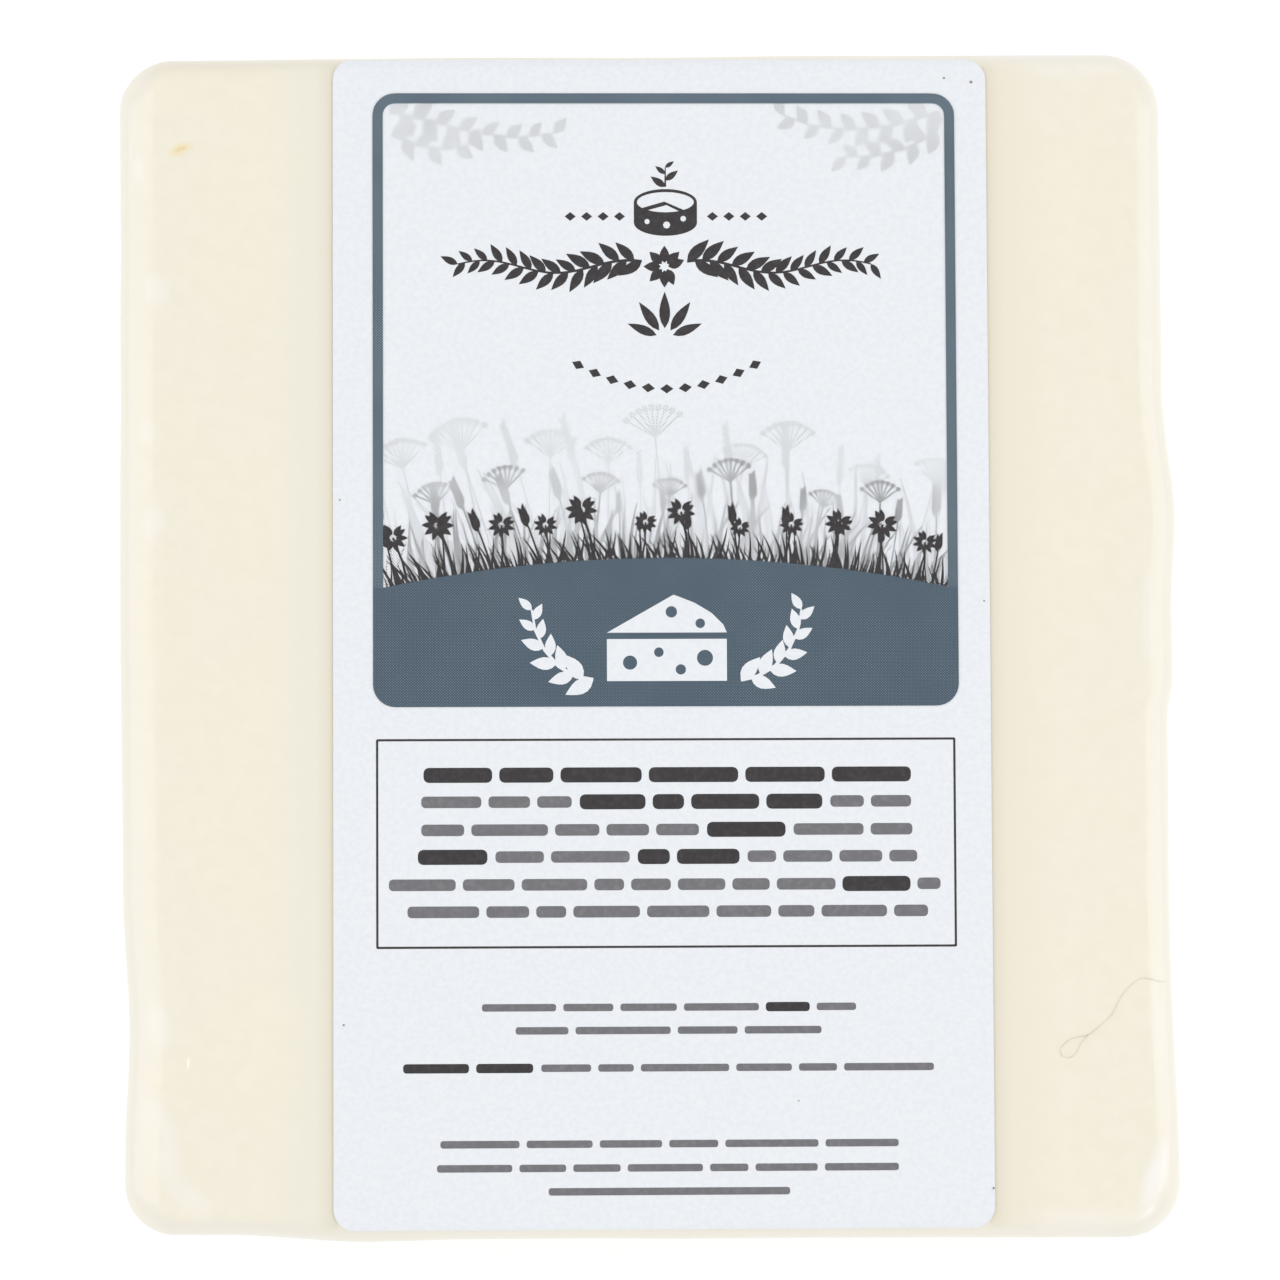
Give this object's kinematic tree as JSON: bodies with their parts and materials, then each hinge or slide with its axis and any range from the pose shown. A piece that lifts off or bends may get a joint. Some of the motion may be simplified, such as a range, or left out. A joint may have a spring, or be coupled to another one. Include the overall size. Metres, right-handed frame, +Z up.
{
  "type": "vacuum-packed goat cheese block",
  "caption": "Flat block of goat's cheese sealed skin-tight in clear film, with rounded corners, uneven sides and a tall paper label over its face.",
  "frame": {"origin": "under the middle of the pack, on the surface that it lies on", "axes": "+Z up, out of the labelled face; +Y along the label towards its top edge; +X to the right as the label is seen upright"},
  "size_m": [0.0923, 0.1037, 0.0205],
  "materials": {
    "cheese_in_film": "pale cream cheese under skin-tight clear film, softly glossy",
    "clear_film": "thin clear shrink film, glossy, with soft ripples",
    "label_paper": "cool white satin paper",
    "slate_print": "slate grey ink in a fine printing screen",
    "black_print": "solid warm black ink",
    "grey_print": "light to mid grey tints of black ink in a fine printing screen",
    "fibre": "a stray hair and specks of dust"
  },
  "bodies": {
    "root": {"cheese_pack": "cheese_in_film", "label": "label_paper"}
  },
  "joints": []
}
